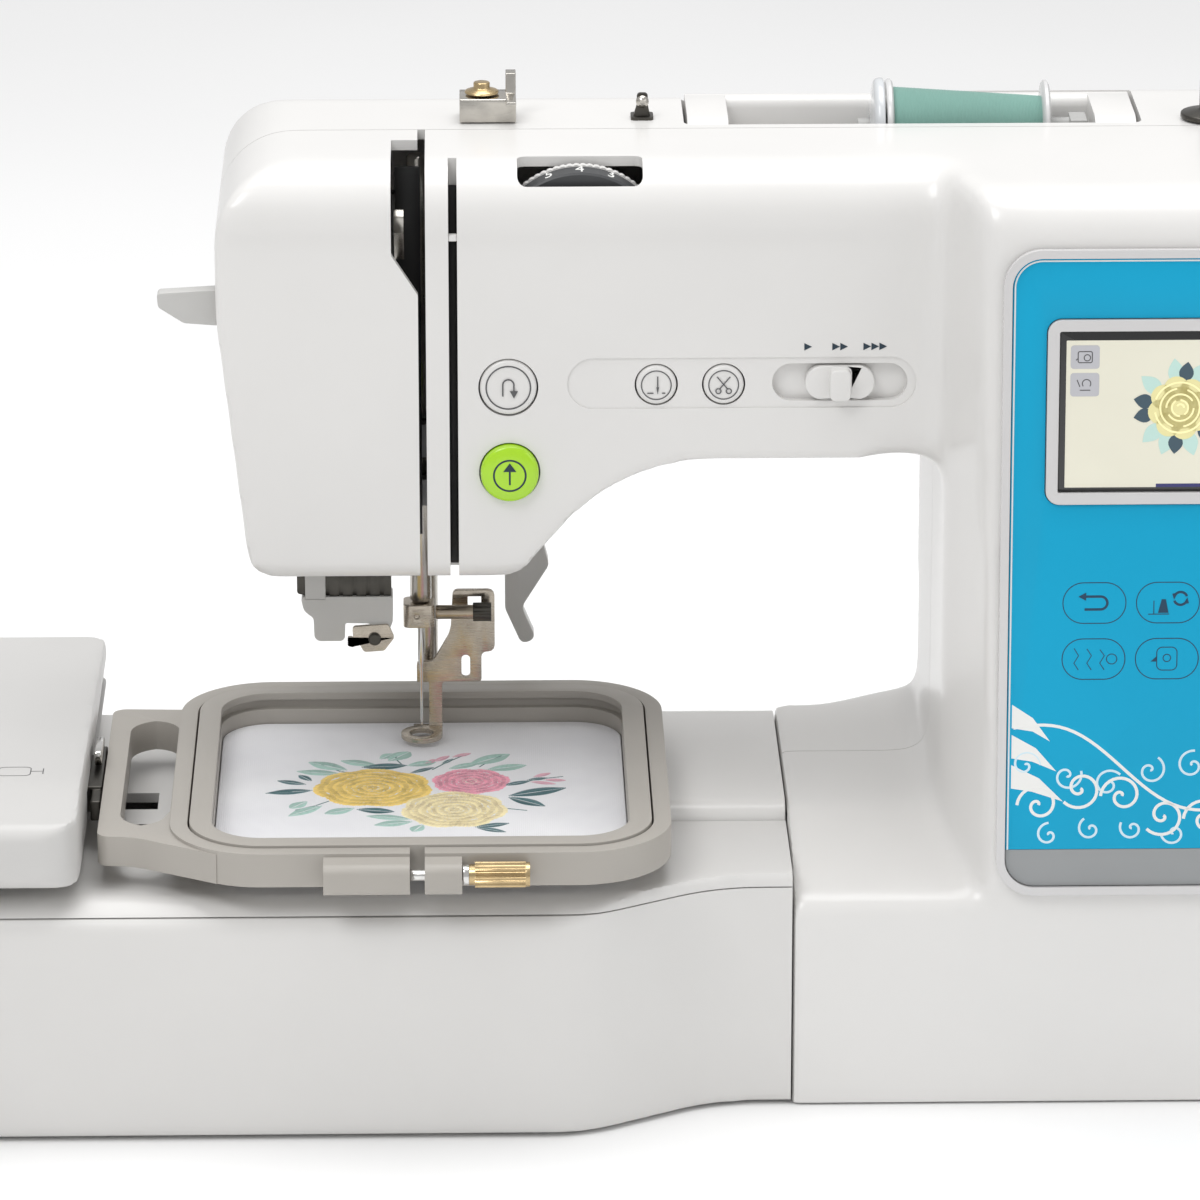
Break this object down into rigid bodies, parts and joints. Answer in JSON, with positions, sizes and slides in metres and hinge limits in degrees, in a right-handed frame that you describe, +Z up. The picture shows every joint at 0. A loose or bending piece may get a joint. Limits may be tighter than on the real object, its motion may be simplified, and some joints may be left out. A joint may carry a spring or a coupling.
{
  "type": "embroidery machine",
  "caption": "Home embroidery machine: white free-arm body with a touch panel, and an embroidery unit whose arm carries a clamped hoop under the needle.",
  "frame": {"origin": "middle of the footprint's bounding box, on the table under the rubber feet", "axes": "+X to the operator's right along the machine, +Y away from the operator, +Z up"},
  "size_m": [0.54, 0.2122, 0.2834],
  "materials": {
    "white_body": "satin warm white moulding",
    "grey_plastic": "matt beige-grey moulding",
    "dark_plastic": "matt black moulding",
    "rubber": "matt",
    "panel_blue": "printed overlay, satin",
    "silver_trim": "silver paint",
    "green_lens": "lit translucent lime",
    "screen": "display under a glossy film",
    "clear_plastic": "clear moulding",
    "steel": "plated steel",
    "alloy": "die cast",
    "brass": "turned and knurled",
    "circuit_board": "matt green laminate",
    "thread": "wound sewing thread",
    "cloth": "white woven cotton with stabiliser"
  },
  "bodies": {
    "machine": {"front_cover": "white_body", "rear_cover": "white_body", "face_cover": "white_body", "bottom_plate": "grey_plastic", "free_arm_cover": "white_body", "needle_plate": "steel", "bobbin_cover": "clear_plastic", "chassis_frame": "alloy", "drive_motor": "alloy", "drive_belt": "rubber", "main_board": "circuit_board", "power_inlet": "dark_plastic", "panel_bezel": "silver_trim", "panel_overlay": "panel_blue", "lcd_frame": "silver_trim", "lcd_screen": "screen", "thread_guide_plate": "steel", "pretension_disc": "brass", "spool_pin": "white_body", "spool_cap": "white_body", "unit_bottom_cover": "white_body", "unit_top_cover": "white_body", "x_guide_rail": "steel", "foot_front_right": "rubber", "foot_rear_right": "rubber", "foot_front_left": "rubber", "foot_rear_left": "rubber"},
    "shaft": {"main_shaft": "steel", "handwheel": "white_body"},
    "motor_rotor": {"motor_pulley": "steel"},
    "hook": {"rotary_hook": "steel"},
    "bobbin_reel": {"bobbin": "clear_plastic"},
    "needle_slide": {"needle_bar": "steel", "needle_clamp": "steel", "needle_clamp_screw": "steel", "needle": "steel"},
    "take_up": {"take_up_lever": "steel"},
    "presser": {"presser_bar": "steel", "embroidery_foot": "steel"},
    "lifter": {"presser_lever": "grey_plastic"},
    "threader": {"threader_lever": "grey_plastic", "threader_head": "grey_plastic"},
    "tension": {"tension_dial": "dark_plastic"},
    "spool": {"thread_spool": "thread"},
    "winder": {"bobbin_winder": "steel"},
    "handle": {"carry_handle": "white_body"},
    "switch": {"power_switch": "dark_plastic"},
    "carriage": {"carriage_slider": "alloy", "carriage_cover": "white_body"},
    "hoop": {"frame_holder": "dark_plastic", "outer_hoop": "grey_plastic", "inner_hoop": "grey_plastic", "cloth": "cloth"},
    "holder_latch": {"holder_lever": "steel"},
    "clamp_screw": {"hoop_screw": "brass"},
    "start_key": {"start_button": "green_lens"},
    "reverse_key": {"reverse_button": "white_body"},
    "needle_key": {"needle_button": "white_body"},
    "cutter_key": {"cutter_button": "white_body"},
    "speed": {"speed_slider": "white_body"}
  },
  "joints": [
    {"name": "shaft_turn", "type": "hinge", "parent": "machine", "child": "shaft", "pos_m": [0.15505, 0.0213, 0.232], "axis": [1, 0, 0], "continuous": true},
    {"name": "motor_turn", "type": "hinge", "parent": "machine", "child": "motor_rotor", "pos_m": [0.23055, -0.0127, 0.046], "axis": [1, 0, 0], "continuous": true},
    {"name": "hook_turn", "type": "hinge", "parent": "machine", "child": "hook", "pos_m": [-0.04495, 0.0038, 0.05], "axis": [0, 0, 1], "continuous": true},
    {"name": "bobbin_turn", "type": "hinge", "parent": "machine", "child": "bobbin_reel", "pos_m": [-0.04495, 0.0038, 0.055], "axis": [0, 0, 1], "continuous": true},
    {"name": "needle_stroke", "type": "slide", "parent": "machine", "child": "needle_slide", "axis": [0, 0, 1], "range_m": [-0.0265, 0], "deforming": ["cloth"]},
    {"name": "take_up_swing", "type": "hinge", "parent": "machine", "child": "take_up", "pos_m": [-0.05025, 0.0353, 0.214], "axis": [1, 0, 0], "range_deg": [0, 24]},
    {"name": "presser_lift", "type": "slide", "parent": "machine", "child": "presser", "axis": [0, 0, 1], "range_m": [0, 0.007]},
    {"name": "lifter_swing", "type": "hinge", "parent": "machine", "child": "lifter", "pos_m": [-0.02095, 0.0743, 0.168], "axis": [0, 1, 0], "range_deg": [-60, 0]},
    {"name": "threader_pull", "type": "slide", "parent": "machine", "child": "threader", "axis": [0, 0, 1], "range_m": [-0.015, 0], "stiffness_N_per_m": 120},
    {"name": "tension_turn", "type": "hinge", "parent": "machine", "child": "tension", "pos_m": [0.00185, -0.0177, 0.243], "axis": [0, 1, 0], "range_deg": [-130, 130]},
    {"name": "spool_turn", "type": "hinge", "parent": "machine", "child": "spool", "pos_m": [0.11505, 0.0388, 0.265], "axis": [1, 0, 0], "continuous": true},
    {"name": "winder_shift", "type": "slide", "parent": "machine", "child": "winder", "axis": [1, 0, 0], "range_m": [0, 0.005]},
    {"name": "handle_swing", "type": "hinge", "parent": "machine", "child": "handle", "pos_m": [0.10005, 0.0333, 0.262], "axis": [1, 0, 0], "range_deg": [0, 90]},
    {"name": "switch_rock", "type": "hinge", "parent": "machine", "child": "switch", "pos_m": [0.24605, 0.0793, 0.03], "axis": [0, 1, 0], "range_deg": [-14, 0]},
    {"name": "carriage_slide", "type": "slide", "parent": "machine", "child": "carriage", "axis": [1, 0, 0], "range_m": [-0.049, 0.049]},
    {"name": "hoop_slide", "type": "slide", "parent": "carriage", "child": "hoop", "axis": [0, 1, 0], "range_m": [-0.005, 0.094]},
    {"name": "latch_swing", "type": "hinge", "parent": "hoop", "child": "holder_latch", "pos_m": [-0.13965, -0.0067, 0.0902], "axis": [1, 0, 0], "range_deg": [-60, 0]},
    {"name": "clamp_turn", "type": "hinge", "parent": "hoop", "child": "clamp_screw", "pos_m": [-0.04495, -0.1019, 0.084], "axis": [1, 0, 0], "continuous": true},
    {"name": "start_press", "type": "slide", "parent": "machine", "child": "start_key", "axis": [0, 1, 0], "range_m": [0, 0.0012], "stiffness_N_per_m": 300},
    {"name": "reverse_press", "type": "slide", "parent": "machine", "child": "reverse_key", "axis": [0, 1, 0], "range_m": [0, 0.0012], "stiffness_N_per_m": 300},
    {"name": "needle_press", "type": "slide", "parent": "machine", "child": "needle_key", "axis": [0, 1, 0], "range_m": [0, 0.0012], "stiffness_N_per_m": 300},
    {"name": "cutter_press", "type": "slide", "parent": "machine", "child": "cutter_key", "axis": [0, 1, 0], "range_m": [0, 0.0012], "stiffness_N_per_m": 300},
    {"name": "speed_set", "type": "slide", "parent": "machine", "child": "speed", "axis": [1, 0, 0], "range_m": [-0.009, 0.009]}
  ],
  "couplings": [
    {"joint": "motor_turn", "follows": "shaft_turn", "ratio": 2.5},
    {"joint": "hook_turn", "follows": "shaft_turn", "ratio": -2},
    {"joint": "presser_lift", "follows": "lifter_swing", "m_per_rad": -0.0066845}
  ]
}
